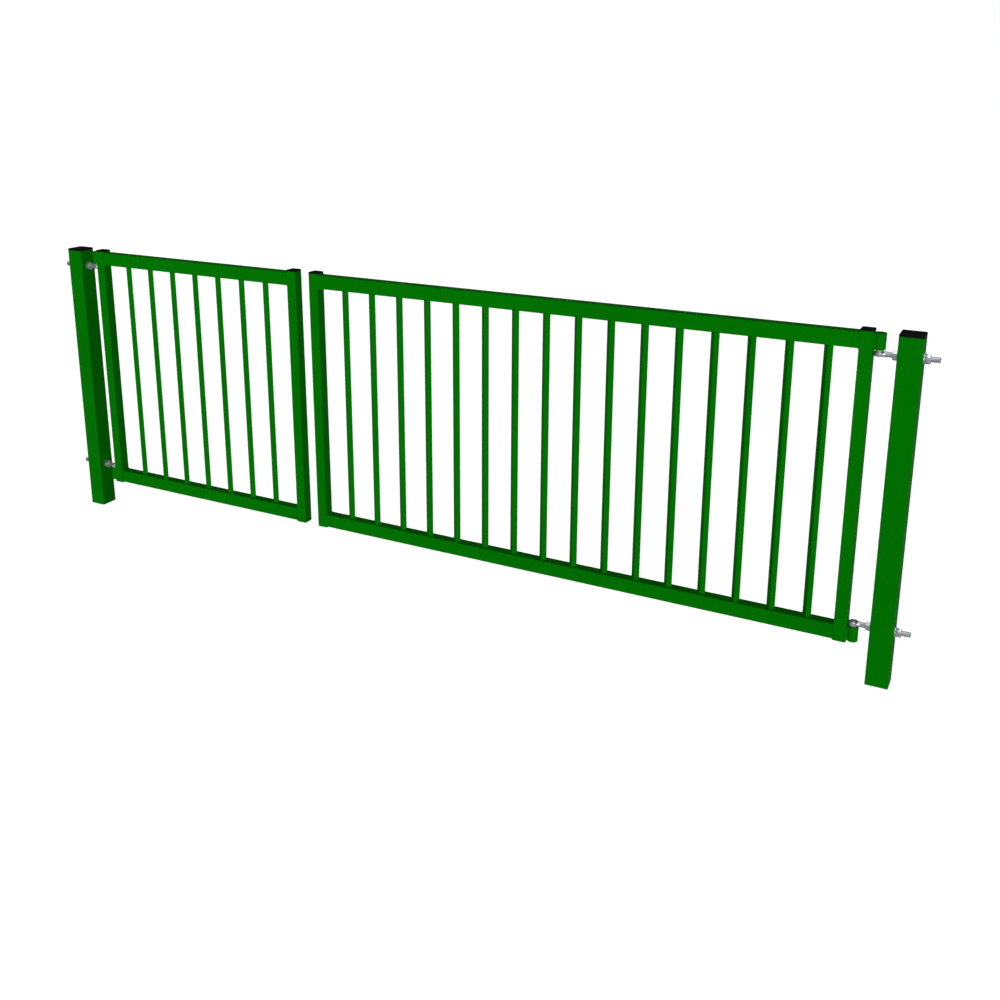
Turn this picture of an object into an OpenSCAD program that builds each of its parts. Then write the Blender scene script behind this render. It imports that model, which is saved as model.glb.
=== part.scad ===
// Unequal double swing gate of welded square tube, hung on adjustable eye bolts between two posts.
// Millimetres. +X runs along the closed gate to the right, +Y to the back, +Z up.
// The origin is the centre of the left post's foot, at ground level.

/* [Posts] */
// Outside width and depth of a post tube
post_w = 70; // [60:1:100]
// Wall thickness of a post tube
post_wall = 3; // [2:0.5:6]
// Height of a post tube above the ground
post_h = 1110; // [1080:5:1400]
// Outside corner radius of a post tube
post_corner_r = 3; // [1:0.5:5]
// Thickness of the plate that closes the foot of a post
foot_plate_t = 6; // [3:1:12]

/* [Leaves] */
// Width of the narrow left leaf
left_leaf_w = 1000; // [700:10:1500]
// Width of the wide right leaf
right_leaf_w = 2000; // [1200:10:2600]
// How far the stile tubes stand above the tops of the post tubes
stile_rise = 3; // [0:1:30]
// Gap between the ground and the foot of the stiles
ground_gap = 118; // [60:1:150]
// Gap between the two meeting stiles
meeting_gap = 60; // [20:1:100]
// Gap between a post and its hinge stile
hinge_gap = 70; // [66:1:100]

/* [Leaf tubes] */
// Outside width and depth of a stile tube
stile_w = 40; // [36:1:50]
// Wall thickness of a stile tube
stile_wall = 2; // [1.5:0.5:4]
// Height of a rail tube
rail_h = 50; // [40:1:80]
// Depth of a rail tube
rail_d = 40; // [30:1:50]
// Wall thickness of a rail tube
rail_wall = 2; // [1.5:0.5:4]
// Distance from the end of a stile to the rail beside it
rail_inset = 4; // [0:1:20]
// Outside corner radius of the leaf tubes
leaf_corner_r = 2; // [0.5:0.5:3]

/* [Bars] */
// Side of a square bar, which stands with a corner to the front
bar_w = 20; // [12:1:25]
// Wall thickness of a bar
bar_wall = 2; // [1:0.5:3]
// Outside corner radius of a bar
bar_corner_r = 1; // [0.5:0.5:2]
// Spacing of the bars, centre to centre
bar_pitch = 115; // [80:1:150]
// Distance from the left leaf's hinge stile to the centre of its first bar
left_first_bar = 115; // [60:1:150]
// Distance from the right leaf's meeting stile to the centre of its first bar
right_first_bar = 107.5; // [60:0.5:150]
// Least distance from the last bar's centre to the next stile
last_bar_margin = 60; // [40:1:80]

/* [Caps] */
// Thickness of the cap on a post
post_cap_t = 8; // [4:1:15]
// Thickness of the cap on a stile
stile_cap_t = 6; // [3:1:10]
// Depth of a cap's plug inside its tube
plug_depth = 18; // [8:1:30]
// Wall thickness of a cap's plug
plug_wall = 2; // [1:0.5:4]
// Clearance between a plug and the wall of its tube
plug_clearance = 0.2; // [0.1:0.1:1]
// Width of the bevel round the top of a cap
cap_bevel = 1.5; // [0.5:0.5:3]

/* [Hinges] */
// Outside diameter of a hinge barrel
barrel_d = 34; // [30:1:45]
// Depth of the blind bore in a barrel
barrel_bore = 40; // [20:1:45]
// Distance from a stile's outer face to the hinge axis
hinge_offset = 16.5; // [14:0.5:22]
// Diameter of a hinge pin
pin_d = 16; // [10:1:18]
// Radial running clearance between a pin and the bore of its eye
pin_clearance = 0.05; // [0.02:0.01:0.1]
// Diameter of the shoulder of a pin, between barrel and eye
shoulder_d = 24; // [20:1:28]
// Gap between the shoulder of a pin and its eye
shoulder_clearance = 0.5; // [0.3:0.1:0.8]
// Gap between an upper barrel and the eye below it
upper_eye_gap = 6; // [1:0.5:20]
// Gap between a lower barrel and the eye above it
lower_eye_gap = 2; // [1:0.5:20]
// How far a pin reaches past its eye
pin_reach = 1; // [0:0.5:10]
// Chamfer on the ends of barrels, pins and eyes
edge_chamfer = 1; // [0.5:0.5:2]

/* [Eye bolts] */
// Diameter of the threaded rod
rod_d = 18; // [12:1:20]
// Outside diameter of the eye
eye_d = 30; // [26:1:32]
// Thickness of the eye
eye_t = 14; // [8:1:18]
// Length of the neck that blends the eye into the rod
neck_len = 8; // [4:1:12]
// How far the rod reaches past the outer face of its post
rod_reach = 46; // [30:1:80]
// Radial clearance of the rod in the post's holes
rod_clearance = 0.5; // [0.3:0.1:2]
// Width across the flats of a nut
nut_flats = 27; // [24:1:36]
// Thickness of a nut
nut_t = 16; // [8:1:16]
// Outside diameter of a washer
washer_d = 34; // [30:1:44]
// Thickness of a washer
washer_t = 3; // [2:0.5:4]

/* [Hidden] */
$fn = 64;
eps = 1;

gate_green = [0, 0.44, 0];
cap_black = [0.07, 0.07, 0.07];
zinc = [0.78, 0.79, 0.82];

// Places along the gate
left_hinge_stile_x = post_w / 2 + hinge_gap + stile_w / 2;
left_meeting_stile_x = left_hinge_stile_x + left_leaf_w - stile_w;
right_meeting_stile_x = left_meeting_stile_x + stile_w + meeting_gap;
right_hinge_stile_x = right_meeting_stile_x + right_leaf_w - stile_w;
right_post_x = right_hinge_stile_x + stile_w / 2 + hinge_gap + post_w / 2;
left_axis_x = left_hinge_stile_x - stile_w / 2 - hinge_offset;
right_axis_x = right_hinge_stile_x + stile_w / 2 + hinge_offset;

// Heights
stile_h = post_h + stile_rise - ground_gap;
bottom_rail_z = ground_gap + rail_inset;
top_rail_z = ground_gap + stile_h - rail_inset - rail_h;
lower_eye_z = bottom_rail_z + rail_h + lower_eye_gap + eye_t / 2;
upper_eye_z = top_rail_z - upper_eye_gap - eye_t / 2;

// Places along an eye bolt, from the hinge axis towards and past the post
post_face = hinge_gap - hinge_offset;
post_back = post_face + post_w;
rod_end = post_back + rod_reach;
nut_corners = nut_flats / cos(30);

// A rectangle with round corners, centred on the origin.
module rounded_rectangle(w, d, r) {
    square([w - 2 * r, d], center = true);
    square([w, d - 2 * r], center = true);
    for (x = [-1, 1], y = [-1, 1])
        translate([x * (w / 2 - r), y * (d / 2 - r)])
            circle(r = r);
}

// An upright rectangular tube that stands on the XY plane.
module tube(w, d, h, wall, r) {
    difference() {
        linear_extrude(h)
            rounded_rectangle(w, d, r);
        translate([0, 0, -eps])
            linear_extrude(h + 2 * eps)
                square([w - 2 * wall, d - 2 * wall], center = true);
    }
}

// A round bar along +Z with both ends chamfered.
module chamfered_bar(d, length, chamfer) {
    r = d / 2;
    rotate_extrude()
        polygon([[0, 0], [r - chamfer, 0], [r, chamfer], [r, length - chamfer], [r - chamfer, length], [0, length]]);
}

// Puts a hinge part at its height on the left or right axis, with local +X towards the post.
module at_hinge(side, level) {
    translate([side == "left" ? left_axis_x : right_axis_x, 0, level == "upper" ? upper_eye_z : lower_eye_z])
        rotate([0, 0, side == "left" ? 180 : 0])
            children();
}

// A square post tube, closed at its foot, with the holes for two eye bolts.
module post(x) {
    color(gate_green)
        translate([x, 0, 0])
            difference() {
                linear_extrude(post_h)
                    rounded_rectangle(post_w, post_w, post_corner_r);
                translate([0, 0, foot_plate_t])
                    linear_extrude(post_h)
                        square(post_w - 2 * post_wall, center = true);
                for (z = [lower_eye_z, upper_eye_z])
                    translate([-post_w / 2 - eps, 0, z])
                        rotate([0, 90, 0])
                            cylinder(d = rod_d + 2 * rod_clearance, h = post_w + 2 * eps);
            }
}

// A plastic cap: a bevelled plate over the end of a square tube, with a hollow plug inside it.
module tube_cap(w, wall, r, t) {
    plug_w = w - 2 * wall - 2 * plug_clearance;
    color(cap_black) {
        linear_extrude(t - cap_bevel)
            rounded_rectangle(w, w, r);
        translate([0, 0, t - cap_bevel])
            bevelled_top(w, r, cap_bevel);
        translate([0, 0, -plug_depth])
            difference() {
                linear_extrude(plug_depth)
                    square(plug_w, center = true);
                translate([0, 0, -eps])
                    linear_extrude(plug_depth + eps)
                        square(plug_w - 2 * plug_wall, center = true);
            }
    }
}

// The bevelled upper face of a cap, as a shallow square frustum with the plate's round corners.
module bevelled_top(w, r, h) {
    intersection() {
        linear_extrude(h)
            rounded_rectangle(w, w, r);
        rotate([90, 0, 0])
            linear_extrude(w, center = true)
                polygon([[-w / 2, 0], [w / 2, 0], [w / 2 - h, h], [h - w / 2, h]]);
        rotate([90, 0, 90])
            linear_extrude(w, center = true)
                polygon([[-w / 2, 0], [w / 2, 0], [w / 2 - h, h], [h - w / 2, h]]);
    }
}

module post_cap(x) {
    translate([x, 0, post_h])
        tube_cap(post_w, post_wall, post_corner_r, post_cap_t);
}

module stile_cap(x) {
    translate([x, 0, ground_gap + stile_h])
        tube_cap(stile_w, stile_wall, leaf_corner_r, stile_cap_t);
}

module stile(x) {
    color(gate_green)
        translate([x, 0, ground_gap])
            tube(stile_w, stile_w, stile_h, stile_wall, leaf_corner_r);
}

// A rail between the inner faces of two stiles, with its underside at height z.
module rail(x0, x1, z) {
    color(gate_green)
        translate([x0 + stile_w / 2, 0, z + rail_h / 2])
            rotate([0, 90, 0])
                tube(rail_h, rail_d, x1 - x0 - stile_w, rail_wall, leaf_corner_r);
}

// A row of upright bars between the rails; count follows from the clear width.
module bar_row(start_x, direction, clear_w, first) {
    count = 1 + floor((clear_w - first - last_bar_margin) / bar_pitch);
    color(gate_green)
        for (i = [0 : count - 1])
            translate([start_x + direction * (first + i * bar_pitch), 0, bottom_rail_z + rail_h])
                rotate([0, 0, 45])
                    tube(bar_w, bar_w, top_rail_z - bottom_rail_z - rail_h, bar_wall, bar_corner_r);
}

// An eye bolt: a flat eye round the hinge axis, a neck, and a threaded rod through the post.
module eyebolt(side, level) {
    color(zinc)
        at_hinge(side, level)
            difference() {
                union() {
                    translate([0, 0, -eye_t / 2])
                        chamfered_bar(eye_d, eye_t, edge_chamfer);
                    translate([eye_d / 2 - edge_chamfer - neck_len / 2, 0, 0])
                        rotate([0, 90, 0])
                            cylinder(d1 = eye_t - 2 * edge_chamfer, d2 = rod_d, h = neck_len);
                    translate([eye_d / 2 - edge_chamfer + neck_len / 2, 0, 0])
                        threaded_end();
                }
                translate([0, 0, -eye_t])
                    cylinder(r = pin_d / 2 + pin_clearance, h = 2 * eye_t);
            }
}

// The straight rod from the neck to its chamfered free end.
module threaded_end() {
    length = rod_end - (eye_d / 2 - edge_chamfer + neck_len / 2);
    r = rod_d / 2;
    rotate([0, 90, 0])
        rotate_extrude()
            polygon([[0, 0], [r, 0], [r, length - edge_chamfer], [r - edge_chamfer, length], [0, length]]);
}

// A hexagon nut with chamfered corners, standing on one corner, from x0 outwards along the rod.
module nut(side, level, x0) {
    color(zinc)
        at_hinge(side, level)
            translate([x0, 0, 0])
                rotate([0, 90, 0])
                    difference() {
                        intersection() {
                            cylinder(d = nut_corners, h = nut_t, $fn = 6);
                            chamfered_bar(nut_corners, nut_t, (nut_corners - nut_flats) / 2);
                        }
                        translate([0, 0, -eps])
                            cylinder(d = rod_d, h = nut_t + 2 * eps);
                    }
}

module inner_nut(side, level) {
    nut(side, level, post_face - nut_t);
}

module outer_nut(side, level) {
    nut(side, level, post_back + washer_t);
}

module washer(side, level) {
    color(zinc)
        at_hinge(side, level)
            translate([post_back, 0, 0])
                rotate([0, 90, 0])
                    difference() {
                        cylinder(d = washer_d, h = washer_t);
                        translate([0, 0, -eps])
                            cylinder(d = rod_d, h = washer_t + 2 * eps);
                    }
}

// Height from the eye's centre to the near end of its barrel, up at the top and down at the bottom.
function barrel_start(level) = eye_t / 2 + (level == "upper" ? upper_eye_gap : lower_eye_gap);

// Turns a shape that is drawn upwards so that it points down at a lower hinge.
module away_from_eye(level) {
    mirror([0, 0, level == "upper" ? 0 : 1])
        children();
}

// A hinge barrel at the height of its rail, with a flat that seats on the stile.
module barrel(side, level) {
    color(gate_green)
        at_hinge(side, level)
            away_from_eye(level)
                translate([0, 0, barrel_start(level)])
                    difference() {
                        chamfered_bar(barrel_d, rail_h, edge_chamfer);
                        translate([0, 0, -eps])
                            cylinder(d = pin_d, h = barrel_bore + eps);
                        translate([-hinge_offset - barrel_d, -barrel_d, -eps])
                            cube([barrel_d, 2 * barrel_d, rail_h + 2 * eps]);
                    }
}

// A hinge pin with its shoulder, fixed in the barrel and turning in the eye.
module pin(side, level) {
    near = -eye_t / 2 - pin_reach;
    shoulder_z = eye_t / 2 + shoulder_clearance;
    color(zinc)
        at_hinge(side, level)
            away_from_eye(level) {
                translate([0, 0, near])
                    chamfered_bar(pin_d, barrel_start(level) + barrel_bore - near, edge_chamfer);
                translate([0, 0, shoulder_z])
                    cylinder(d = shoulder_d, h = barrel_start(level) - shoulder_z);
            }
}

post(0);  // left_post
post(right_post_x);  // right_post
post_cap(0);  // left_post_cap
post_cap(right_post_x);  // right_post_cap

eyebolt("left", "upper");  // left_upper_eyebolt
eyebolt("left", "lower");  // left_lower_eyebolt
eyebolt("right", "upper");  // right_upper_eyebolt
eyebolt("right", "lower");  // right_lower_eyebolt

inner_nut("left", "upper");  // left_upper_inner_nut
outer_nut("left", "upper");  // left_upper_outer_nut
inner_nut("left", "lower");  // left_lower_inner_nut
outer_nut("left", "lower");  // left_lower_outer_nut
inner_nut("right", "upper");  // right_upper_inner_nut
outer_nut("right", "upper");  // right_upper_outer_nut
inner_nut("right", "lower");  // right_lower_inner_nut
outer_nut("right", "lower");  // right_lower_outer_nut

washer("left", "upper");  // left_upper_washer
washer("left", "lower");  // left_lower_washer
washer("right", "upper");  // right_upper_washer
washer("right", "lower");  // right_lower_washer

stile(left_hinge_stile_x);  // left_hinge_stile
stile(left_meeting_stile_x);  // left_meeting_stile
rail(left_hinge_stile_x, left_meeting_stile_x, top_rail_z);  // left_top_rail
rail(left_hinge_stile_x, left_meeting_stile_x, bottom_rail_z);  // left_bottom_rail
bar_row(left_hinge_stile_x + stile_w / 2, 1, left_leaf_w - 2 * stile_w, left_first_bar);  // left_bars
stile_cap(left_hinge_stile_x);  // left_hinge_stile_cap
stile_cap(left_meeting_stile_x);  // left_meeting_stile_cap
barrel("left", "upper");  // left_upper_barrel
barrel("left", "lower");  // left_lower_barrel
pin("left", "upper");  // left_upper_pin
pin("left", "lower");  // left_lower_pin

stile(right_hinge_stile_x);  // right_hinge_stile
stile(right_meeting_stile_x);  // right_meeting_stile
rail(right_meeting_stile_x, right_hinge_stile_x, top_rail_z);  // right_top_rail
rail(right_meeting_stile_x, right_hinge_stile_x, bottom_rail_z);  // right_bottom_rail
bar_row(right_meeting_stile_x + stile_w / 2, 1, right_leaf_w - 2 * stile_w, right_first_bar);  // right_bars
stile_cap(right_hinge_stile_x);  // right_hinge_stile_cap
stile_cap(right_meeting_stile_x);  // right_meeting_stile_cap
barrel("right", "upper");  // right_upper_barrel
barrel("right", "lower");  // right_lower_barrel
pin("right", "upper");  // right_upper_pin
pin("right", "lower");  // right_lower_pin
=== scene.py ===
from math import cos, pi, radians, sin

import bmesh
import bpy
from bpy.props import FloatProperty, FloatVectorProperty, IntProperty, PointerProperty
from bpy.types import Operator, Panel, PropertyGroup
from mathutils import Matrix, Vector


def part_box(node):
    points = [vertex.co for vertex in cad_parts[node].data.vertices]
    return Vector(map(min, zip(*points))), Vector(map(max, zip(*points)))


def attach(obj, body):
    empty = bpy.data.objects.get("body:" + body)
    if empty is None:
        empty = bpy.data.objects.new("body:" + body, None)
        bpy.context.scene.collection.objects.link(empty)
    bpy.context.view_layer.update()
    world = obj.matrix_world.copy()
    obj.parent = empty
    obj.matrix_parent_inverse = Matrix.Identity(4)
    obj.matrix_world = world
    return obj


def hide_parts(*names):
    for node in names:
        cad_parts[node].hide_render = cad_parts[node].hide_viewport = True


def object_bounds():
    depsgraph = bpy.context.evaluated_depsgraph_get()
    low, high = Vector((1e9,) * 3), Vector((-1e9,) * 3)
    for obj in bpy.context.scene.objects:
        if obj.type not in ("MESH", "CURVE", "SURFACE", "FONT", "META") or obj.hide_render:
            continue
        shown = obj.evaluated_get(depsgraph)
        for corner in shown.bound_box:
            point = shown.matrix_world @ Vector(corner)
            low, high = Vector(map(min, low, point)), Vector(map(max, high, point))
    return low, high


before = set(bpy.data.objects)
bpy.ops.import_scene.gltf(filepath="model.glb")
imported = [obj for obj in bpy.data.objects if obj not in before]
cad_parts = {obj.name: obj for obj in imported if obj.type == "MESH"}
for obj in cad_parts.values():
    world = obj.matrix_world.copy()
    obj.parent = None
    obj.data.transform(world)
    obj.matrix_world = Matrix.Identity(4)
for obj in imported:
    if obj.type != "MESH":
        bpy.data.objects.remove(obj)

bl_info = {
    "name": "Double gate dressing",
    "version": (1, 0, 0),
    "blender": (4, 5, 0),
    "location": "View3D > Sidebar > Gate",
    "description": "Coats, welds and fits the hardware of an unequal double swing gate",
    "category": "Object",
}

MM = 0.001
SIDES = ("left", "right")
LEVELS = ("upper", "lower")
CAD_BOX = [list(corner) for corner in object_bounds()]
KEY_TOWARDS = (0.403, -0.911, 0.09)

# How far a rounded normal may lean from the plain one (as their dot product) on a flat and at an edge
LEAN_ON_FLATS = 0.998
LEAN_AT_EDGES = 0.90

# Specular level of the coat and the plastic, which are both dull
DULL_SPECULAR = 0.06


# Places and sizes that the frame gives

def middle(node):
    low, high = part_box(node)
    return (low + high) / 2


def extent(node):
    low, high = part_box(node)
    return high - low


def hinges():
    """Yields each hinge's name, side, axis at the eye's height, and turn of +X towards its post."""
    for side in SIDES:
        for level in LEVELS:
            name = f"{side}_{level}"
            axis = middle(f"{name}_pin")
            axis.z = middle(f"{name}_eyebolt").z
            yield name, side, axis, pi if side == "left" else 0.0


def bar_places(node):
    """The middle of every bar of a row, from left to right."""
    least_gap = 30 * MM
    xs = sorted({round(v.co.x, 5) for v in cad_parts[node].data.vertices})
    groups = [[xs[0]]]
    for x in xs[1:]:
        if x - groups[-1][-1] > least_gap:
            groups.append([])
        groups[-1].append(x)
    return [(group[0] + group[-1]) / 2 for group in groups]


# Work at the bench: selecting, drawing, turning, copying

def clear_selection():
    if bpy.context.mode != "OBJECT":
        bpy.ops.object.mode_set(mode="OBJECT")
    bpy.ops.object.select_all(action="DESELECT")


def take(*pieces):
    """Selects these pieces alone and makes the first one active."""
    clear_selection()
    for piece in pieces:
        piece.select_set(True)
    bpy.context.view_layer.objects.active = pieces[0]
    return pieces[0]


def settle(piece):
    """Moves a piece's place, turn and scale into its mesh."""
    take(piece)
    bpy.ops.object.transform_apply(location=True, rotation=True, scale=True)
    return piece


def turn(piece, axis, angle):
    settle(piece)
    piece.rotation_euler["xyz".index(axis)] = angle
    return settle(piece)


def edit(piece, *mode):
    """Opens a piece for editing in vertex, edge or face mode, with nothing selected."""
    take(piece)
    bpy.context.tool_settings.mesh_select_mode = [kind in mode for kind in ("VERT", "EDGE", "FACE")]
    bpy.ops.object.mode_set(mode="EDIT")
    bpy.ops.mesh.select_all(action="DESELECT")


def pick(kind, test):
    """Selects the vertices, edges or faces of the open mesh whose middle and normal pass a test."""
    data = bpy.context.object.data
    mesh = bmesh.from_edit_mesh(data)
    for item in getattr(mesh, kind):
        if kind == "verts":
            place, facing = item.co, item.normal
        elif kind == "edges":
            ends = [v.co for v in item.verts]
            place, facing = (ends[0] + ends[1]) / 2, (ends[1] - ends[0]).normalized()
        else:
            place, facing = item.calc_center_median(), item.normal
        item.select_set(bool(test(place, facing)))
    mesh.select_flush_mode()
    bmesh.update_edit_mesh(data)


def close_edit(merge=1e-6, outwards=True):
    """Merges doubled vertices, turns the faces outwards and leaves edit mode."""
    bpy.ops.mesh.select_all(action="SELECT")
    bpy.ops.mesh.remove_doubles(threshold=merge)
    if outwards:
        bpy.ops.mesh.normals_make_consistent(inside=False)
    bpy.ops.object.mode_set(mode="OBJECT")


def apply_modifier(piece, kind, **settings):
    take(piece)
    modifier = piece.modifiers.new(kind.title(), kind)
    for key, value in settings.items():
        setattr(modifier, key, value)
    bpy.ops.object.modifier_apply(modifier=modifier.name)


def smooth(piece, angle=35):
    take(piece)
    bpy.ops.object.shade_smooth_by_angle(angle=radians(angle))
    return piece


def draw_line(name, points, closed=False):
    """Draws a line as one vertex that is extruded from point to point."""
    clear_selection()
    bpy.ops.mesh.primitive_plane_add(size=MM, location=points[0])
    piece = bpy.context.object
    piece.name = piece.data.name = name
    bpy.context.tool_settings.mesh_select_mode = (True, False, False)
    bpy.ops.object.mode_set(mode="EDIT")
    bpy.ops.mesh.select_all(action="SELECT")
    bpy.ops.mesh.merge(type="CENTER")
    route = list(points) + ([points[0]] if closed else [])
    for start, end in zip(route, route[1:]):
        step = Vector(end) - Vector(start)
        bpy.ops.mesh.extrude_vertices_move(TRANSFORM_OT_translate={"value": step})
    close_edit(outwards=False)
    return settle(piece)


def turned(name, profile, steps=48):
    """Turns a closed profile of (radius, height) points round the Z axis, as on a lathe."""
    piece = draw_line(name, [(r, 0, z) for r, z in profile], closed=profile[0][0] > 0)
    edit(piece, "VERT")
    bpy.ops.mesh.select_all(action="SELECT")
    bpy.ops.mesh.spin(steps=steps, angle=2 * pi, center=(0, 0, 0), axis=(0, 0, 1))
    close_edit()
    return piece


def arc(centre, radius, first, last, steps):
    """Points of a rounded edge, with the angles in degrees."""
    angles = [radians(first + (last - first) * i / steps) for i in range(steps + 1)]
    return [(centre[0] + radius * cos(a), centre[1] + radius * sin(a)) for a in angles]


def copy_piece(source, name, place=(0, 0, 0), turn_z=0.0, flip=False):
    """A copy with a mesh of its own, turned about Z or over, and put in its place."""
    take(source)
    bpy.ops.object.duplicate(linked=False)
    piece = bpy.context.object
    piece.name = piece.data.name = name
    piece.rotation_euler = (pi if flip else 0.0, 0.0, turn_z)
    piece.location = place
    return settle(piece)


def join(name, pieces):
    take(*pieces)
    if len(pieces) > 1:
        bpy.ops.object.join()
    piece = bpy.context.object
    piece.name = piece.data.name = name
    return piece


def discard(*pieces):
    take(*pieces)
    bpy.ops.object.delete()


def fit(piece, finish, body, slot, *nodes):
    """Gives a finished piece its finish and its body, and hides the nodes of the frame that it stands for.
    The slot is not used.
    """
    piece.data.materials.clear()
    piece.data.materials.append(finish)
    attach(piece, body)
    if nodes:
        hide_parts(*nodes)


def coat(finish, *nodes):
    """Gives nodes of the frame a finish in their own material slots."""
    for node in nodes:
        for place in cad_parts[node].material_slots:
            place.material = finish


# Finishes

class Finish:
    """A material that is built up node by node."""

    def __init__(self, name):
        self.material = bpy.data.materials.get(name) or bpy.data.materials.new(name)
        self.material.use_nodes = True
        self.tree = self.material.node_tree
        self.tree.nodes.clear()
        self.out = self.add("ShaderNodeOutputMaterial")
        self.shader = self.add("ShaderNodeBsdfPrincipled")
        self.join(self.shader.outputs[0], self.out.inputs["Surface"])
        self.place = self.add("ShaderNodeTexCoord").outputs["Object"]

    def add(self, kind, **settings):
        node = self.tree.nodes.new(kind)
        for key, value in settings.items():
            setattr(node, key, value)
        return node

    def join(self, source, target):
        self.tree.links.new(source, target)

    def feed(self, node, **inputs):
        for key, value in inputs.items():
            socket = node.inputs[key.replace("_", " ")]
            if isinstance(value, bpy.types.NodeSocket):
                self.join(value, socket)
            else:
                socket.default_value = value
        return node

    def noise(self, scale, detail=2.0, roughness=0.5, stretch=None):
        place = self.place
        if stretch:
            mapping = self.feed(self.add("ShaderNodeMapping"), Vector=place, Scale=stretch)
            place = mapping.outputs[0]
        made = self.add("ShaderNodeTexNoise")
        return self.feed(made, Vector=place, Scale=scale, Detail=detail, Roughness=roughness).outputs["Fac"]

    def remap(self, value, low, high, start=0.0, end=1.0):
        made = self.add("ShaderNodeMapRange", clamp=True)
        self.feed(made, Value=value, From_Min=start, From_Max=end, To_Min=low, To_Max=high)
        return made.outputs["Result"]

    def math(self, kind, first, second=0.0):
        made = self.add("ShaderNodeMath", operation=kind)
        for socket, value in zip(made.inputs, (first, second)):
            if isinstance(value, bpy.types.NodeSocket):
                self.join(value, socket)
            else:
                socket.default_value = value
        return made.outputs[0]

    def blend(self, amount, first, second):
        made = self.add("ShaderNodeMix", data_type="RGBA")
        for socket, value in zip((made.inputs[0], made.inputs[6], made.inputs[7]), (amount, first, second)):
            if isinstance(value, bpy.types.NodeSocket):
                self.join(value, socket)
            else:
                socket.default_value = value
        return made.outputs[2]

    def bump(self, height, strength, distance, below=None):
        made = self.feed(self.add("ShaderNodeBump"), Height=height, Strength=strength, Distance=distance)
        if below:
            self.join(below, made.inputs["Normal"])
        return made.outputs[0]

    def edges(self, radius):
        """1 along the outside edges and 0 on the flats, from how far a rounded normal leans away."""
        rounded = self.feed(self.add("ShaderNodeBevel", samples=4), Radius=radius).outputs[0]
        plain = self.add("ShaderNodeNewGeometry").outputs["Normal"]
        dot = self.add("ShaderNodeVectorMath", operation="DOT_PRODUCT")
        self.join(rounded, dot.inputs[0])
        self.join(plain, dot.inputs[1])
        return self.remap(dot.outputs["Value"], 0.0, 1.0, LEAN_ON_FLATS, LEAN_AT_EDGES)


def shade(colour, factor=1.0):
    return tuple(min(1.0, c * factor) for c in colour[:3]) + (1.0,)


def powder_coat(name, ripple=0.0):
    """Green powder coat: orange peel, slow drifts of tone and gloss, and thin, darker edges.

    Ripple is the strength of the uneven surface that a weld leaves under the coat.
    """
    look = bpy.context.scene.gate_finish
    made = Finish(name)
    drift = made.noise(2.3, 3.0)
    cloud = made.noise(19.0, 3.0)
    tone = made.blend(made.remap(drift, 0.0, 1.0, 0.3, 0.7), shade(look.coat, 0.93), shade(look.coat, 1.07))
    tone = made.blend(made.remap(cloud, 0.0, 0.12, 0.35, 0.75), tone, shade(look.coat, 0.82))
    patches = made.remap(made.noise(60.0, 4.0), 0.55, 0.8, 0.4, 0.7)
    thin = made.math("MULTIPLY", made.edges(2.6 * MM), patches)
    tone = made.blend(thin, tone, shade(look.coat_edge))
    peel = made.noise(380.0, 2.0, 0.45)
    fine = made.noise(1500.0, 1.0)
    normal = made.bump(peel, look.orange_peel, 0.35 * MM)
    normal = made.bump(fine, look.orange_peel * 0.5, 0.06 * MM, normal)
    if ripple:
        normal = made.bump(made.noise(700.0, 3.0, 0.6), ripple, 0.5 * MM, normal)
    gloss = made.remap(cloud, look.coat_roughness - 0.05, look.coat_roughness + 0.05, 0.3, 0.7)
    gloss = made.math("ADD", gloss, made.remap(peel, -0.03, 0.03))
    made.feed(made.shader, Base_Color=tone, Roughness=gloss, Normal=normal)
    made.feed(made.shader, Metallic=0.0, Specular_IOR_Level=DULL_SPECULAR)
    return made.material


def weld_coat():
    return powder_coat("green powder coat on welds", ripple=0.5)


def moulded_plastic(name):
    """Black moulded plastic: a fine spark-eroded grain, dull, and faintly grey where edges are rubbed."""
    look = bpy.context.scene.gate_finish
    made = Finish(name)
    cloud = made.noise(45.0, 4.0)
    drift = made.remap(cloud, 0.0, 1.0, 0.3, 0.75)
    tone = made.blend(drift, shade(look.plastic, 0.85), shade(look.plastic, 1.2))
    patches = made.remap(made.noise(150.0, 4.0), 0.1, 0.6, 0.4, 0.7)
    rubbed = made.math("MULTIPLY", made.edges(0.9 * MM), patches)
    tone = made.blend(rubbed, tone, shade(look.plastic_edge))
    grain = made.noise(2600.0, 2.0, 0.6)
    normal = made.bump(grain, look.plastic_grain, 0.08 * MM)
    gloss = made.remap(cloud, 0.44, 0.56, 0.3, 0.7)
    gloss = made.math("ADD", gloss, made.remap(grain, -0.05, 0.05))
    made.feed(made.shader, Base_Color=tone, Roughness=gloss, Normal=normal)
    made.feed(made.shader, Metallic=0.0, Specular_IOR_Level=DULL_SPECULAR)
    return made.material


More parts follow.
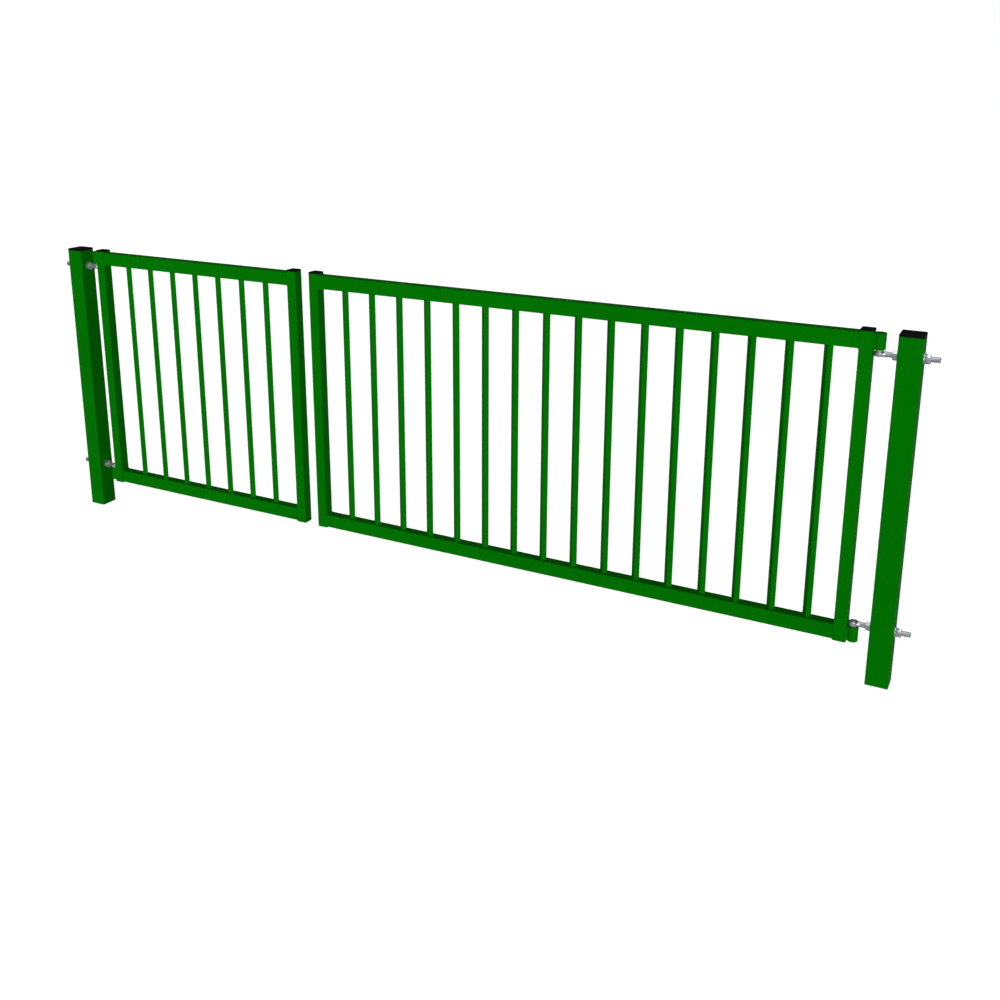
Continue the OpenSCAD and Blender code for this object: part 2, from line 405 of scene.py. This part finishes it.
def zinc_plate(name, along=(1.0, 1.0, 1.0)):
    """Bright zinc plate on steel: cool passivated patches, fine drawing marks, and polished edges."""
    look = bpy.context.scene.gate_finish
    made = Finish(name)
    patch = made.noise(70.0, 4.0, 0.55)
    tint = made.noise(34.0, 2.0)
    drift = made.remap(patch, 0.0, 1.0, 0.3, 0.72)
    tone = made.blend(drift, shade(look.zinc, 0.86), shade(look.zinc, 1.08))
    tone = made.blend(made.remap(tint, 0.0, 0.35, 0.5, 0.75), tone, shade(look.zinc_tint))
    tone = made.blend(made.edges(0.5 * MM), tone, shade(look.zinc, 1.1))
    marks = made.noise(900.0, 2.0, 0.6, stretch=along)
    normal = made.bump(marks, 0.25, 0.05 * MM)
    normal = made.bump(patch, 0.12, 0.2 * MM, normal)
    gloss = made.remap(patch, look.zinc_roughness + 0.07, look.zinc_roughness - 0.05, 0.3, 0.7)
    gloss = made.math("ADD", gloss, made.remap(marks, -0.05, 0.05))
    made.feed(made.shader, Base_Color=tone, Roughness=gloss, Normal=normal, Metallic=0.9)
    return made.material


# What a user would change

class GateFinish(PropertyGroup):
    coat: FloatVectorProperty(
        name="Coat", description="Colour of the powder coat",
        subtype="COLOR", size=3, default=(0.0006, 0.185, 0.0006),
    )
    coat_edge: FloatVectorProperty(
        name="Coat edge", description="Colour of the coat where it is thin, along edges",
        subtype="COLOR", size=3, default=(0.0004, 0.04, 0.0004),
    )
    coat_roughness: FloatProperty(
        name="Coat roughness", description="Roughness of the powder coat",
        subtype="FACTOR", min=0, max=1, default=0.5,
    )
    orange_peel: FloatProperty(
        name="Orange peel", description="Strength of the coat's orange peel",
        subtype="FACTOR", min=0, max=1, default=0.3,
    )
    plastic: FloatVectorProperty(
        name="Plastic", description="Colour of the moulded caps",
        subtype="COLOR", size=3, default=(0.0038, 0.0038, 0.0040),
    )
    plastic_edge: FloatVectorProperty(
        name="Plastic edge", description="Colour of the caps where edges are rubbed",
        subtype="COLOR", size=3, default=(0.020, 0.020, 0.021),
    )
    plastic_grain: FloatProperty(
        name="Grain", description="Strength of the caps' moulded grain",
        subtype="FACTOR", min=0, max=1, default=0.5,
    )
    zinc: FloatVectorProperty(
        name="Zinc", description="Colour of the zinc plate",
        subtype="COLOR", size=3, default=(0.79, 0.805, 0.84),
    )
    zinc_tint: FloatVectorProperty(
        name="Zinc tint", description="Colour of the passivated patches",
        subtype="COLOR", size=3, default=(0.66, 0.69, 0.77),
    )
    zinc_roughness: FloatProperty(
        name="Zinc roughness", description="Roughness of the zinc plate",
        subtype="FACTOR", min=0, max=1, default=0.28,
    )


class GateWelds(PropertyGroup):
    rail_bead: FloatProperty(
        name="Rail bead", description="Radius of the bead round the end of a rail",
        unit="LENGTH", default=3.0 * MM,
    )
    bar_bead: FloatProperty(
        name="Bar bead", description="Radius of the bead round the end of a bar",
        unit="LENGTH", default=1.9 * MM,
    )
    barrel_bead: FloatProperty(
        name="Barrel bead", description="Radius of the beads that hold a barrel",
        unit="LENGTH", default=3.6 * MM,
    )
    ripple_pitch: FloatProperty(
        name="Ripple pitch", description="Distance between the ripples of a bead",
        unit="LENGTH", default=2.6 * MM,
    )
    ripple_depth: FloatProperty(
        name="Ripple depth", description="How much a bead narrows between its ripples",
        subtype="FACTOR", min=0, max=1, default=0.1,
    )


class GateThreads(PropertyGroup):
    pitch: FloatProperty(
        name="Pitch", description="Pitch of the eye bolts' thread",
        unit="LENGTH", default=2.5 * MM,
    )
    turn_steps: IntProperty(
        name="Steps", description="Steps in a turn of the thread",
        min=16, max=96, default=32,
    )
    run_out: FloatProperty(
        name="Run-out", description="Length of the chamfer at the end of a rod",
        unit="LENGTH", default=1.6 * MM,
    )


class GateStage(PropertyGroup):
    floor: FloatVectorProperty(
        name="Floor", description="Colour of the floor",
        subtype="COLOR", size=3, default=(0.8, 0.8, 0.8),
    )
    floor_bounce: FloatProperty(
        name="Floor bounce", description="Share of its light that the floor throws back onto the gate",
        subtype="FACTOR", min=0, max=1, default=0.15,
    )
    floor_glow: FloatProperty(
        name="Floor glow", description="How much the floor whitens towards the background",
        min=0, default=0.95,
    )
    floor_shine: FloatProperty(
        name="Floor shine", description="How bright the floor is in reflections",
        min=0, default=0.12,
    )
    key: FloatProperty(
        name="Key", description="Strength of the light from the front right",
        min=0, default=3.3,
    )
    back: FloatProperty(name="Back", description="Strength of the light from behind", min=0, default=2.8)
    top: FloatProperty(name="Top", description="Strength of the light from above", min=0, default=0.02)
    sky: FloatProperty(name="Sky", description="Strength of the light from all round", min=0, default=0.015)
    wall_shine: FloatProperty(
        name="Wall shine", description="How bright the surround is in reflections near the horizon",
        min=0, default=0.03,
    )
    dome_shine: FloatProperty(
        name="Dome shine", description="How bright the surround is in reflections overhead",
        min=0, default=1.5,
    )
    box_shine: FloatProperty(
        name="Box shine", description="How bright the key light's soft box is in reflections",
        min=0, default=2.9,
    )


# Pieces

class GATE_OT_coat_tubes(Operator):
    """Coats the posts, stiles, rails, bars and barrels green"""

    bl_idname = "gate.coat_tubes"
    bl_label = "Coat the tubes"

    def execute(self, context):
        green = powder_coat("green powder coat")
        for side in SIDES:
            parts = ("post", "hinge_stile", "meeting_stile", "top_rail", "bottom_rail", "bars")
            coat(green, *[f"{side}_{part}" for part in parts])
            coat(green, *[f"{side}_{level}_barrel" for level in LEVELS])
        return {"FINISHED"}


class GATE_OT_plate_pins(Operator):
    """Plates the hinge pins with zinc"""

    bl_idname = "gate.plate_pins"
    bl_label = "Plate the pins"

    def execute(self, context):
        zinc = zinc_plate("zinc plate turned", along=(0.25, 0.25, 3.0))
        coat(zinc, *[f"{name}_pin" for name, *rest in hinges()])
        return {"FINISHED"}


# How much a bead's radius strays, and the angle in radians by which that turns from one point to the next
UNEVEN_BEAD = 0.04
UNEVEN_STEP = 2.39


def bead(name, route, radius, closed):
    """A weld bead along a route: a line that is given a round section, which swells at each ripple."""
    welds = bpy.context.scene.gate_welds
    piece = draw_line(name, route, closed)
    take(piece)
    bpy.ops.object.convert(target="CURVE")
    curve = piece.data
    curve.bevel_depth = radius
    curve.bevel_resolution = 2
    curve.use_fill_caps = not closed
    for number, point in enumerate(curve.splines[0].points):
        uneven = UNEVEN_BEAD * sin(number * UNEVEN_STEP)
        point.radius = 1.0 - welds.ripple_depth * (number % 2) + uneven
    bpy.ops.object.convert(target="MESH")
    piece = bpy.context.object
    edit(piece, "VERT")
    close_edit()
    return smooth(piece, 60)


def spaced(corners, step, closed=True):
    """Points along straight runs, about a step apart, and an even number of them on each run."""
    route = list(corners) + ([corners[0]] if closed else [])
    made = []
    for start, end in zip(route, route[1:]):
        start, end = Vector(start), Vector(end)
        count = max(2, 2 * round((end - start).length / step / 2))
        made += [tuple(start.lerp(end, i / count)) for i in range(count)]
    if not closed:
        made.append(tuple(route[-1]))
    return made


class GATE_OT_weld_rails(Operator):
    """Runs a bead round both ends of every rail, where it meets its stile"""

    bl_idname = "gate.weld_rails"
    bl_label = "Weld the rails"

    def execute(self, context):
        welds = context.scene.gate_welds
        green = weld_coat()
        size = extent("left_top_rail")
        # The rail is as thick as its stile, so the bead keeps inside its front and back
        y, z = size.y / 2 - 0.9 * MM, size.z / 2 + 0.6 * MM
        corner = 3.0 * MM
        off_stile = 0.5 * MM
        outline = [(0, -y + corner, -z), (0, y - corner, -z), (0, y, -z + corner), (0, y, z - corner)]
        outline += [(0, y - corner, z), (0, -y + corner, z), (0, -y, z - corner), (0, -y, -z + corner)]
        pattern = bead("rail bead", spaced(outline, welds.ripple_pitch / 2), welds.rail_bead, True)
        for side in SIDES:
            made = []
            for level in ("top", "bottom"):
                node = f"{side}_{level}_rail"
                low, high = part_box(node)
                for x in (low.x + off_stile, high.x - off_stile):
                    made.append(copy_piece(pattern, f"{node} bead", (x, 0, middle(node).z)))
            fit(join(f"{side}_rail_welds", made), green, f"{side}_leaf", "green_coating")
        discard(pattern)
        return {"FINISHED"}


class GATE_OT_weld_bars(Operator):
    """Runs a bead round both ends of every bar, where it meets a rail"""

    bl_idname = "gate.weld_bars"
    bl_label = "Weld the bars"

    def execute(self, context):
        welds = context.scene.gate_welds
        green = weld_coat()
        corner = extent("left_bars").y / 2 + 0.2 * MM
        blunt = 1.6 * MM
        off_rail = 0.4 * MM
        outline = []
        for ahead, across in (((0, -1), (1, 0)), ((1, 0), (0, 1)), ((0, 1), (-1, 0)), ((-1, 0), (0, -1))):
            tip = Vector((*ahead, 0)) * corner
            back = Vector((*ahead, 0)) * blunt
            aside = Vector((*across, 0)) * blunt
            outline += [tuple(tip - aside - back), tuple(tip), tuple(tip + aside - back)]
        pattern = bead("bar bead", spaced(outline, welds.ripple_pitch / 2), welds.bar_bead, True)
        for side in SIDES:
            node = f"{side}_bars"
            low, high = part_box(node)
            made = []
            for x in bar_places(node):
                for z in (low.z + off_rail, high.z - off_rail):
                    made.append(copy_piece(pattern, f"{node} bead", (x, 0, z)))
            fit(join(f"{side}_bar_welds", made), green, f"{side}_leaf", "green_coating")
        discard(pattern)
        return {"FINISHED"}


class GATE_OT_weld_barrels(Operator):
    """Runs a bead up both sides of every hinge barrel, in the groove between it and its stile"""

    bl_idname = "gate.weld_barrels"
    bl_label = "Weld the barrels"

    def execute(self, context):
        welds = context.scene.gate_welds
        green = weld_coat()
        reach = extent("left_upper_barrel").z / 2 - 3 * MM
        groove, off_stile = 9.6 * MM, 1.2 * MM
        route = spaced([(0, 0, -reach), (0, 0, reach)], welds.ripple_pitch / 2, closed=False)
        pattern = bead("barrel bead", route, welds.barrel_bead, False)
        for name, side, *rest in hinges():
            node = f"{name}_barrel"
            low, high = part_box(node)
            x = high.x - off_stile if side == "left" else low.x + off_stile
            made = []
            for y in (-groove, groove):
                made.append(copy_piece(pattern, f"{node} bead", (x, y, middle(node).z)))
            fit(join(f"{name}_barrel_welds", made), green, f"{side}_leaf", "green_coating")
        discard(pattern)
        return {"FINISHED"}


class GATE_OT_mould_caps(Operator):
    """Moulds the caps of the posts and stiles: rounded edges, a low crown and a plug inside the tube"""

    bl_idname = "gate.mould_caps"
    bl_label = "Mould the caps"

    def execute(self, context):
        black = moulded_plastic("black moulded plastic")
        post_wall, stile_wall = 3.0 * MM, 2.0 * MM
        for side in SIDES:
            self.mould(f"{side}_post", "posts", post_wall, black)
            for stile in ("hinge", "meeting"):
                self.mould(f"{side}_{stile}_stile", f"{side}_leaf", stile_wall, black)
        return {"FINISHED"}

    def mould(self, tube, body, wall, finish):
        """The cap of a tube, whose corners are as round as the tube's wall is thick."""
        node = f"{tube}_cap"
        low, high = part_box(node)
        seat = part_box(tube)[1].z
        wide, thick = high.x - low.x, high.z - seat
        piece = self.shell(wide, thick, wall)
        self.plug(piece, wide, wall, seat - low.z)
        piece.location = (middle(node).x, middle(node).y, seat)
        settle(piece)
        piece.name = piece.data.name = f"{node}_moulded"
        smooth(piece, 40)
        fit(piece, finish, body, "black_plastic", node)

    def shell(self, wide, thick, corner):
        """The plate of a cap, rounded at its corners and round its top, and raised to a low crown."""
        clear_selection()
        bpy.ops.mesh.primitive_cube_add(size=1, location=(0, 0, thick / 2), scale=(wide, wide, thick))
        piece = settle(bpy.context.object)
        edit(piece, "EDGE")
        pick("edges", lambda place, along: abs(along.z) > 0.9)
        bpy.ops.mesh.bevel(offset=corner, segments=5, affect="EDGES")
        bpy.ops.object.mode_set(mode="OBJECT")
        edit(piece, "FACE")
        pick("faces", lambda place, facing: facing.z > 0.99)
        reach = wide / 2
        crown = 0.35 * MM
        rounding = ((0.2, 0.55), (0.35, 0.45), (0.45, 0.3), (0.5, 0.2))
        crowning = ((0.12, 0.45), (0.3, 0.4), (0.3, 0.15))
        bpy.ops.transform.translate(value=(0, 0, -crown - sum(rise for drawn_in, rise in rounding) * MM))
        for drawn_in, rise in rounding:
            self.ring(reach, drawn_in * MM, rise * MM)
            reach -= drawn_in * MM
        for share, rise in crowning:
            self.ring(reach, share * wide / 2, rise * crown)
            reach -= share * wide / 2
        close_edit()
        return piece

    def ring(self, reach, drawn_in, rise):
        """Extrudes the picked face once and draws it in towards the middle."""
        bpy.ops.mesh.extrude_region_move(TRANSFORM_OT_translate={"value": (0, 0, rise)})
        ratio = (reach - drawn_in) / reach
        bpy.ops.transform.resize(value=(ratio, ratio, 1), center_override=(0, 0, 0))

    def plug(self, piece, wide, wall, depth):
        """The hollow plug under the plate: in to its side, down, in by its own wall, and up again."""
        edit(piece, "FACE")
        pick("faces", lambda place, facing: facing.z < -0.99 and place.z < 0.01 * MM)
        clearance, taper, plug_wall = 0.2 * MM, 0.3 * MM, 2.0 * MM
        self.ring(wide / 2, wall + clearance, 0)
        inside = wide / 2 - wall
        self.ring(inside, taper, -depth)
        self.ring(inside, plug_wall, 0)
        self.ring(inside, 0, depth)
        close_edit()


# Depth of a metric thread as a share of its pitch
THREAD_DEPTH = 0.6134

NECK_LENGTH = 20.5 * MM

# The neck's rings in millimetres: distance from the eye's axis, half height, half width
NECK_RINGS = (
    (10.0, 6.9, 11.2),
    (12.0, 7.4, 10.9),
    (13.6, 7.9, 10.4),
    (15.0, 8.3, 9.9),
    (16.4, 8.65, 9.4),
    (17.8, 8.9, 9.05),
    (19.2, 8.95, 8.95),
    (20.2, 8.95, 8.95),
    (20.5, 8.3, 8.3),
    (20.8, 7.4, 7.4),
)


class GATE_OT_forge_eye_bolts(Operator):
    """Forges the eye bolts: a round-edged eye, a neck that swells into the rod, and a cut thread"""

    bl_idname = "gate.forge_eye_bolts"
    bl_label = "Forge the eye bolts"

    def execute(self, context):
        zinc = zinc_plate("zinc plate on bolts")
        axis = middle("right_upper_pin")
        low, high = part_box("right_upper_eyebolt")
        pattern = self.bolt(axis.x - low.x, high.x - axis.x)
        for name, side, place, angle in hinges():
            piece = copy_piece(pattern, f"{name}_eye_bolt_forged", place, angle)
            fit(piece, zinc, "posts", "zinc_steel", f"{name}_eyebolt")
        discard(pattern)
        return {"FINISHED"}

    def bolt(self, eye_r, length):
        """One eye bolt, with its eye round the origin and its rod along +X."""
        half, bore_r = 7.0 * MM, 8.05 * MM
        rim, lip = 2.2 * MM, 0.7 * MM
        outer = arc((eye_r - rim, -half + rim), rim, -90, 0, 5)
        outer += arc((eye_r - rim, half - rim), rim, 0, 90, 5)
        inner = arc((bore_r + lip, half - lip), lip, 90, 180, 3)
        inner += arc((bore_r + lip, -half + lip), lip, 180, 270, 3)
        eye = turned("eye", outer + inner, 64)
        rod_r = extent("right_upper_eyebolt").z / 2
        rod = self.rod(rod_r, NECK_LENGTH, length)
        neck = self.neck(rod_r)
        return smooth(join("eye bolt", [eye, neck, rod]), 40)

    def neck(self, rod_r):
        """The neck, extruded from inside the eye in rings, from a flat oval to the rod's circle."""
        clear_selection()
        turn_to_x = (0, pi / 2, 0)
        bpy.ops.mesh.primitive_circle_add(vertices=40, radius=rod_r, fill_type="NGON", rotation=turn_to_x)
        piece = settle(bpy.context.object)
        edit(piece, "FACE")
        bpy.ops.mesh.select_all(action="SELECT")
        at, tall, wide = 0.0, rod_r / MM, rod_r / MM
        for number, (next_at, next_tall, next_wide) in enumerate(NECK_RINGS):
            if number:
                bpy.ops.mesh.extrude_region_move(TRANSFORM_OT_translate={"value": (0, 0, 0)})
            bpy.ops.transform.translate(value=((next_at - at) * MM, 0, 0))
            growth = (1, next_wide / wide, next_tall / tall)
            bpy.ops.transform.resize(value=growth, center_override=(next_at * MM, 0, 0))
            at, tall, wide = next_at, next_tall, next_wide
        close_edit()
        return piece

    def rod(self, rod_r, start, length):
        """The threaded rod: one pitch of the profile, screwed along X, cut square and chamfered."""
        thread = bpy.context.scene.gate_threads
        pitch = thread.pitch
        root = rod_r - THREAD_DEPTH * pitch
        crest_w, root_w = pitch / 8, pitch / 4
        flank = (pitch - crest_w - root_w) / 2
        steps = [0, root_w, root_w + flank, root_w + flank + crest_w, pitch]
        radii = [root, root, rod_r, rod_r, root]
        end = length - thread.run_out
        turns = int((end - start) / pitch) + 4
        first = start - 2 * pitch
        piece = draw_line("rod", [(first + x, 0, r) for x, r in zip(steps, radii)])
        screw = {"axis": "X", "angle": 2 * pi, "screw_offset": pitch, "iterations": turns}
        apply_modifier(piece, "SCREW", steps=thread.turn_steps, render_steps=thread.turn_steps, **screw)
        edit(piece, "VERT")
        close_edit(merge=2e-6)
        for x, facing in ((start, -1), (end, 1)):
            edit(piece, "VERT")
            bpy.ops.mesh.select_all(action="SELECT")
            cut = {"plane_co": (x, 0, 0), "plane_no": (facing, 0, 0)}
            bpy.ops.mesh.bisect(use_fill=True, clear_outer=True, **cut)
            bpy.ops.object.mode_set(mode="OBJECT")
        edit(piece, "FACE")
        pick("faces", lambda place, facing: facing.x > 0.99 and place.x > end - 0.01 * MM)
        bpy.ops.mesh.extrude_region_move(TRANSFORM_OT_translate={"value": (length - end, 0, 0)})
        tip = 0.84
        bpy.ops.transform.resize(value=(1, tip, tip), center_override=(length, 0, 0))
        close_edit()
        return piece


# Height of a nut's chamfer as a share of its width, close on 30 degrees
CHAMFER_SLOPE = 0.55


class GATE_OT_fit_nuts(Operator):
    """Makes the hexagon nuts, chamfered on both faces and at the mouth of the bore"""

    bl_idname = "gate.fit_nuts"
    bl_label = "Fit the nuts"

    def execute(self, context):
        zinc = zinc_plate("zinc plate on nuts")
        size = extent("right_upper_outer_nut")
        pattern = self.nut(size.x, size.z / 2)
        for name, side, axis, angle in hinges():
            for where in ("inner", "outer"):
                node = f"{name}_{where}_nut"
                piece = copy_piece(pattern, f"{node}_cut", middle(node), angle)
                fit(piece, zinc, "posts", "zinc_steel", node)
        discard(pattern)
        return {"FINISHED"}

    def nut(self, thick, corner_r):
        """A hexagonal blank that is turned to a chamfer at both ends and bored with a countersink."""
        clear_selection()
        bpy.ops.mesh.primitive_cylinder_add(vertices=6, radius=corner_r, depth=thick)
        blank = settle(bpy.context.object)
        half = thick / 2
        across_flats = corner_r * cos(pi / 6)
        face_r, clear_r = across_flats * 0.97, corner_r + 0.2 * MM
        drop = (corner_r - face_r) * CHAMFER_SLOPE
        body = [(0, -half), (face_r, -half), (clear_r, -half + drop)]
        body += [(clear_r, half - drop), (face_r, half), (0, half)]
        turning = turned("turning", body, 96)
        hole_r, mouth_r, sink = 8.65 * MM, 10.85 * MM, 1.2 * MM
        bore = [(0, -half - MM), (mouth_r, -half - MM), (hole_r, -half + sink)]
        bore += [(hole_r, half - sink), (mouth_r, half + MM), (0, half + MM)]
        drill = turned("drill", bore, 48)
        apply_modifier(blank, "BOOLEAN", object=turning, operation="INTERSECT", solver="EXACT")
        apply_modifier(blank, "BOOLEAN", object=drill, operation="DIFFERENCE", solver="EXACT")
        discard(turning, drill)
        sharp = radians(28)
        apply_modifier(blank, "BEVEL", width=0.3 * MM, segments=2, limit_method="ANGLE", angle_limit=sharp)
        size = extent("right_upper_outer_nut")
        turn(blank, "z", pi / 2 if size.z > size.y else 0.0)
        turn(blank, "y", pi / 2)
        return smooth(blank, 30)


class GATE_OT_fit_washers(Operator):
    """Makes the flat washers, with the rolled edge that punching leaves"""

    bl_idname = "gate.fit_washers"
    bl_label = "Fit the washers"

    def execute(self, context):
        zinc = zinc_plate("zinc plate on washers")
        size = extent("right_upper_washer")
        rim_r, half, hole_r = size.z / 2, size.x / 2, 9.15 * MM
        rolled, lip, burr = 0.9 * MM, 0.5 * MM, 0.25 * MM
        profile = arc((rim_r - rolled, half - rolled), rolled, 0, 90, 4)
        profile += arc((hole_r + lip, half - lip), lip, 90, 180, 3)
        profile += [(hole_r, -half), (rim_r - burr, -half), (rim_r, -half + burr)]
        pattern = turned("washer", profile, 64)
        turn(pattern, "y", pi / 2)
        smooth(pattern, 40)
        for name, side, axis, angle in hinges():
            node = f"{name}_washer"
            piece = copy_piece(pattern, f"{node}_punched", middle(node), angle)
            fit(piece, zinc, "posts", "zinc_steel", node)
        discard(pattern)
        return {"FINISHED"}


# The stage

class GATE_OT_set_stage(Operator):
    """Lays the pale floor and sets the lights, the background and the camera"""

    bl_idname = "gate.set_stage"
    bl_label = "Set the stage"

    def execute(self, context):
        self.floor(context.scene.gate_stage)
        self.lights(context.scene.gate_stage)
        self.background(context)
        self.camera(context)
        context.scene.view_settings.view_transform = "Standard"
        return {"FINISHED"}

    def floor(self, stage):
        """A dull floor that glows white to the camera and throws little light back onto the gate."""
        clear_selection()
        centre = (Vector(CAD_BOX[0]) + Vector(CAD_BOX[1])) / 2
        bpy.ops.mesh.primitive_plane_add(size=120, location=(centre.x, centre.y, -0.4 * MM))
        piece = settle(bpy.context.object)
        piece.name = "floor"
        made = Finish("pale floor")
        made.tree.nodes.remove(made.shader)
        path = made.add("ShaderNodeLightPath").outputs
        seen = made.math("MAXIMUM", path["Is Camera Ray"], path["Is Transmission Ray"])
        seen = made.math("MULTIPLY", seen, stage.floor_glow)
        shine = made.math("MULTIPLY", path["Is Glossy Ray"], stage.floor_shine)
        bounced = shade(stage.floor, stage.floor_bounce)
        colour = made.blend(path["Is Diffuse Ray"], shade(stage.floor), bounced)
        dull = made.feed(made.add("ShaderNodeBsdfDiffuse"), Color=colour)
        glow = made.feed(made.add("ShaderNodeEmission"), Strength=made.math("MAXIMUM", seen, shine))
        both = made.add("ShaderNodeAddShader")
        made.join(dull.outputs[0], both.inputs[0])
        made.join(glow.outputs[0], both.inputs[1])
        made.join(both.outputs[0], made.out.inputs["Surface"])
        piece.data.materials.append(made.material)

    def lights(self, stage):
        for name, strength, spread, towards in (
            ("key", stage.key, 20, KEY_TOWARDS),
            ("back", stage.back, 28, (-0.42, 0.907, 0.04)),
            ("top", stage.top, 50, (0.1, -0.2, 0.97)),
        ):
            clear_selection()
            bpy.ops.object.light_add(type="SUN", location=Vector(towards) * 6)
            lamp = bpy.context.object
            lamp.name = name
            lamp.data.energy = strength
            lamp.data.angle = radians(spread)
            lamp.visible_glossy = False
            lamp.rotation_euler = Vector(towards).to_track_quat("Z", "Y").to_euler()

    def background(self, context):
        """White to the camera, bright overhead for the metal to mirror, and a weak even light besides."""
        stage = context.scene.gate_stage
        world = bpy.data.worlds.new("white surround")
        context.scene.world = world
        world.use_nodes = True
        tree = world.node_tree
        tree.nodes.clear()
        path = tree.nodes.new("ShaderNodeLightPath").outputs
        direction = tree.nodes.new("ShaderNodeTexCoord").outputs["Generated"]

        def patch(towards, start, end, low, high):
            """Brightness that grows as a reflection points more closely towards a place in the surround."""
            nearness = tree.nodes.new("ShaderNodeVectorMath")
            nearness.operation = "DOT_PRODUCT"
            tree.links.new(direction, nearness.inputs[0])
            nearness.inputs[1].default_value = towards
            made = tree.nodes.new("ShaderNodeMapRange")
            for name, value in (("From Min", start), ("From Max", end), ("To Min", low), ("To Max", high)):
                made.inputs[name].default_value = value
            tree.links.new(nearness.outputs["Value"], made.inputs["Value"])
            return made.outputs[0]

        def level(kind, first, second):
            made = tree.nodes.new("ShaderNodeMath")
            made.operation = kind
            for socket, value in zip(made.inputs, (first, second)):
                if isinstance(value, bpy.types.NodeSocket):
                    tree.links.new(value, socket)
                else:
                    socket.default_value = value
            return made.outputs[0]

        seen = level("MAXIMUM", path["Is Camera Ray"], path["Is Transmission Ray"])
        dome = patch((0.0, 0.0, 1.0), 0.7, 0.92, stage.wall_shine, stage.dome_shine)
        box = patch(KEY_TOWARDS, 0.86, 0.97, 0.0, stage.box_shine)
        shine = level("MULTIPLY", path["Is Glossy Ray"], level("ADD", dome, box))
        glow = tree.nodes.new("ShaderNodeBackground")
        glow.inputs["Color"].default_value = (1.0, 1.0, 1.0, 1.0)
        tree.links.new(level("MAXIMUM", level("MAXIMUM", seen, shine), stage.sky), glow.inputs["Strength"])
        out = tree.nodes.new("ShaderNodeOutputWorld")
        tree.links.new(glow.outputs[0], out.inputs["Surface"])

    def camera(self, context):
        clear_selection()
        bpy.ops.object.camera_add(location=(3.6503, -3.3706, 1.8604), rotation=(1.30349, -0.00278, 0.47640))
        camera = bpy.context.object
        camera.name = "camera"
        camera.data.lens = 40.958
        camera.data.sensor_width = 36
        camera.data.shift_x = 0.00785
        camera.data.shift_y = -0.126
        camera.data.clip_start = 0.05
        camera.data.clip_end = 400
        context.scene.camera = camera


STEPS = (
    GATE_OT_coat_tubes,
    GATE_OT_plate_pins,
    GATE_OT_weld_rails,
    GATE_OT_weld_bars,
    GATE_OT_weld_barrels,
    GATE_OT_mould_caps,
    GATE_OT_forge_eye_bolts,
    GATE_OT_fit_nuts,
    GATE_OT_fit_washers,
    GATE_OT_set_stage,
)


class VIEW3D_PT_gate(Panel):
    """Lists the pieces of the gate and its settings"""

    bl_label = "Gate"
    bl_space_type = "VIEW_3D"
    bl_region_type = "UI"
    bl_category = "Gate"

    def draw(self, context):
        for step in STEPS:
            self.layout.operator(step.bl_idname)
        for group in ("gate_finish", "gate_welds", "gate_threads", "gate_stage"):
            box = self.layout.box()
            settings = getattr(context.scene, group)
            for name in settings.__annotations__:
                box.prop(settings, name)


GROUPS = {
    "gate_finish": GateFinish,
    "gate_welds": GateWelds,
    "gate_threads": GateThreads,
    "gate_stage": GateStage,
}


def register():
    for kind in (*GROUPS.values(), *STEPS, VIEW3D_PT_gate):
        bpy.utils.register_class(kind)
    for name, kind in GROUPS.items():
        setattr(bpy.types.Scene, name, PointerProperty(type=kind))


def unregister():
    for name in GROUPS:
        delattr(bpy.types.Scene, name)
    for kind in reversed((*GROUPS.values(), *STEPS, VIEW3D_PT_gate)):
        bpy.utils.unregister_class(kind)


def main():
    register()
    for step in STEPS:
        group, name = step.bl_idname.split(".")
        getattr(getattr(bpy.ops, group), name)()


if __name__ == "__main__":
    main()
